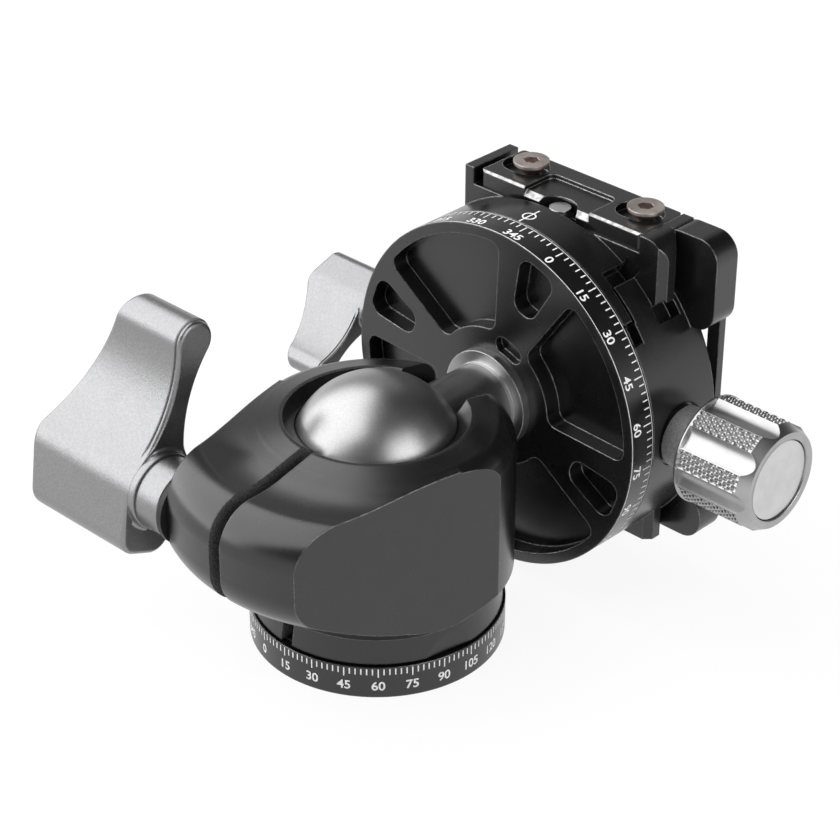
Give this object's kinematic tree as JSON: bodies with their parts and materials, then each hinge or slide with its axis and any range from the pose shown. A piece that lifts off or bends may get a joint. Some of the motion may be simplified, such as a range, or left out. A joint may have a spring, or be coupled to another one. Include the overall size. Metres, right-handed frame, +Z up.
{
  "type": "ball head",
  "caption": "Low-profile camera ball head with a graduated panning base, split ball clamp, wing levers and a panning dovetail quick-release clamp.",
  "frame": {"origin": "centre of the base's underside, on the tripod thread's axis", "axes": "+Z up out of the base, +X along the stem as it lies in the drop notch, +Y towards the two wing levers"},
  "size_m": [0.0906, 0.1045, 0.0685],
  "materials": {
    "black_anodised": "satin black anodised aluminium with white engraved scales",
    "blasted_aluminium": "bead-blasted grey anodised aluminium",
    "satin_ball": "satin hard-anodised ball",
    "bright_steel": "bright turned stainless steel",
    "knurled_steel": "diamond-knurled stainless steel",
    "screw_steel": "bronze-tinted stainless steel",
    "plain_steel": "machined steel",
    "brass": "machined brass",
    "black_polymer": "slip washer plastic",
    "white_polymer": "slip bearing plastic"
  },
  "bodies": {
    "base": {"base_ring": "black_anodised", "pan_post": "plain_steel", "base_screws": "screw_steel", "base_glide_washer": "black_polymer"},
    "housing": {"housing": "black_anodised", "retaining_ring": "plain_steel", "ball_cup": "white_polymer", "cup_spring": "plain_steel", "lug_insert": "plain_steel", "ball_lock_washer": "black_polymer"},
    "ball_lock": {"ball_lock_lever": "blasted_aluminium", "ball_lock_stud": "plain_steel"},
    "ball": {"ball": "satin_ball"},
    "stem": {"stem": "bright_steel", "graduated_disc": "black_anodised", "pan_hub": "plain_steel", "hub_bolt": "screw_steel"},
    "clamp": {"clamp_body": "black_anodised", "pan_retainer": "plain_steel", "pan_retainer_screws": "screw_steel", "end_plate": "black_anodised", "end_plate_screws": "screw_steel", "stop_pin": "bright_steel", "pan_shoe": "brass", "pan_lock_washer": "black_polymer", "jaw_washer": "black_polymer"},
    "pan_lock": {"pan_lock_lever": "blasted_aluminium", "pan_lock_screw": "plain_steel"},
    "jaw": {"movable_jaw": "black_anodised", "jaw_nut": "brass", "jaw_nut_screws": "screw_steel", "jaw_guide_pins": "plain_steel"},
    "knob": {"jaw_knob": "knurled_steel", "knob_cap": "bright_steel", "jaw_screw": "plain_steel", "jaw_clip": "screw_steel"}
  },
  "joints": [
    {"name": "base_pan", "type": "hinge", "parent": "base", "child": "housing", "pos_m": [0, 0, 0], "axis": [0, 0, 1], "continuous": true},
    {"name": "ball_lock_turn", "type": "hinge", "parent": "housing", "child": "ball_lock", "pos_m": [-0.0285, 0, 0.03], "axis": [0, 1, 0], "range_deg": [-60, 20]},
    {"name": "ball_tilt", "type": "hinge", "parent": "housing", "child": "ball", "pos_m": [0, 0, 0.0335], "axis": [0, -1, 0], "range_deg": [0, 90]},
    {"name": "ball_spin", "type": "hinge", "parent": "ball", "child": "stem", "pos_m": [0, 0, 0.0335], "axis": [1, 0, 0], "continuous": true},
    {"name": "clamp_pan", "type": "hinge", "parent": "stem", "child": "clamp", "pos_m": [0, 0, 0.0335], "axis": [1, 0, 0], "continuous": true},
    {"name": "pan_lock_turn", "type": "hinge", "parent": "clamp", "child": "pan_lock", "pos_m": [0.0366, 0, 0.0335], "axis": [0, 1, 0], "range_deg": [-20, 40]},
    {"name": "jaw_knob_turn", "type": "hinge", "parent": "clamp", "child": "knob", "pos_m": [0.0413, 0, 0.0335], "axis": [0, 1, 0], "range_deg": [0, 1440]},
    {"name": "jaw_slide", "type": "slide", "parent": "clamp", "child": "jaw", "axis": [0, 1, 0], "range_m": [0, 0.004]}
  ],
  "couplings": [
    {"joint": "jaw_slide", "follows": "jaw_knob_turn", "m_per_rad": 0.00015915}
  ]
}
